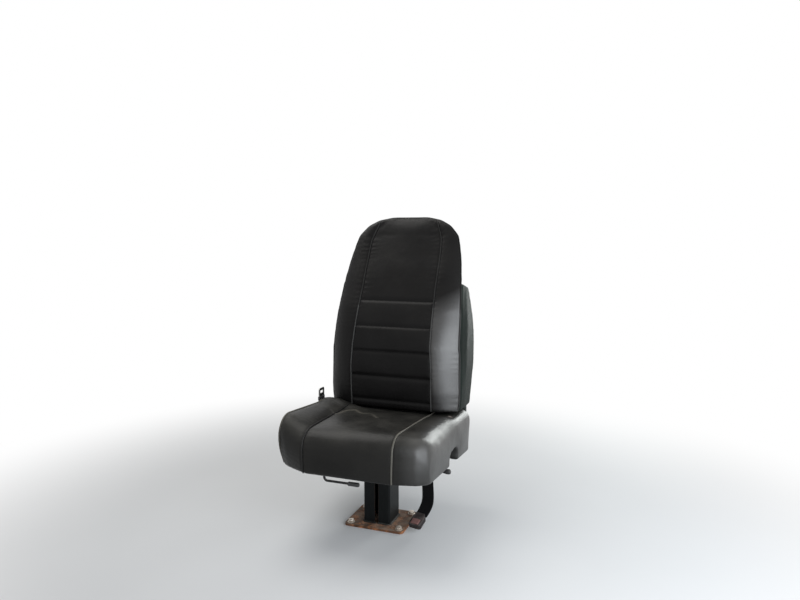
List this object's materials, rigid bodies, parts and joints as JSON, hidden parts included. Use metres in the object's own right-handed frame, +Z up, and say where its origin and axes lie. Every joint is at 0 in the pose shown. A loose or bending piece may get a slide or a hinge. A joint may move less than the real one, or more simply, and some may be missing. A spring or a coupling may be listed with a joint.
{
  "type": "vehicle attendant seat",
  "caption": "High-back swivel attendant seat for a vehicle: bucket cushion, reclining back, slide rails and lap belt on a square floor pedestal.",
  "frame": {"origin": "centre of the floor plate's underside, on the pedestal's axis and the swivel axis", "axes": "+Z up, the occupant faces -Y, +X is the occupant's left"},
  "size_m": [0.582, 0.6937, 1.123],
  "materials": {
    "rusty_plate": "matte",
    "pedestal_paint": "satin",
    "rail_steel": "satin",
    "frame_paint": "satin",
    "black_plastic": "matte",
    "button_red": "satin",
    "webbing": "matte",
    "tongue_steel": "satin",
    "vinyl": "satin"
  },
  "bodies": {
    "base": {"floor_plate": "rusty_plate", "pedestal_left": "pedestal_paint", "pedestal_right": "pedestal_paint", "pedestal_cap": "pedestal_paint", "swivel_base": "pedestal_paint"},
    "swivel": {"swivel_top": "pedestal_paint", "lower_rail_left": "rail_steel", "lower_rail_right": "rail_steel"},
    "seat": {"upper_rail_left": "rail_steel", "upper_rail_right": "rail_steel", "seat_pan": "frame_paint", "seat_cushion": "vinyl", "hinge_bracket_left": "frame_paint", "hinge_bracket_right": "frame_paint", "slide_release": "frame_paint", "release_grip": "black_plastic", "recline_lever": "frame_paint", "lever_knob": "black_plastic", "belt_anchor": "frame_paint", "buckle_strap": "webbing", "buckle": "black_plastic", "buckle_button": "button_red", "retractor_carrier": "frame_paint", "retractor": "black_plastic", "belt_sleeve": "black_plastic", "latch_tongue": "tongue_steel"},
    "back": {"back_arm_left": "frame_paint", "back_arm_right": "frame_paint", "back_cushion": "vinyl", "back_shell": "vinyl"}
  },
  "joints": [
    {"name": "swivel_turn", "type": "hinge", "parent": "base", "child": "swivel", "pos_m": [0, 0, 0.241], "axis": [0, 0, 1], "continuous": true},
    {"name": "seat_slide", "type": "slide", "parent": "swivel", "child": "seat", "axis": [0, -1, 0], "range_m": [-0.07, 0.07]},
    {"name": "back_recline", "type": "hinge", "parent": "seat", "child": "back", "pos_m": [0, 0.285, 0.29], "axis": [-1, 0, 0], "range_deg": [0, 28]}
  ]
}
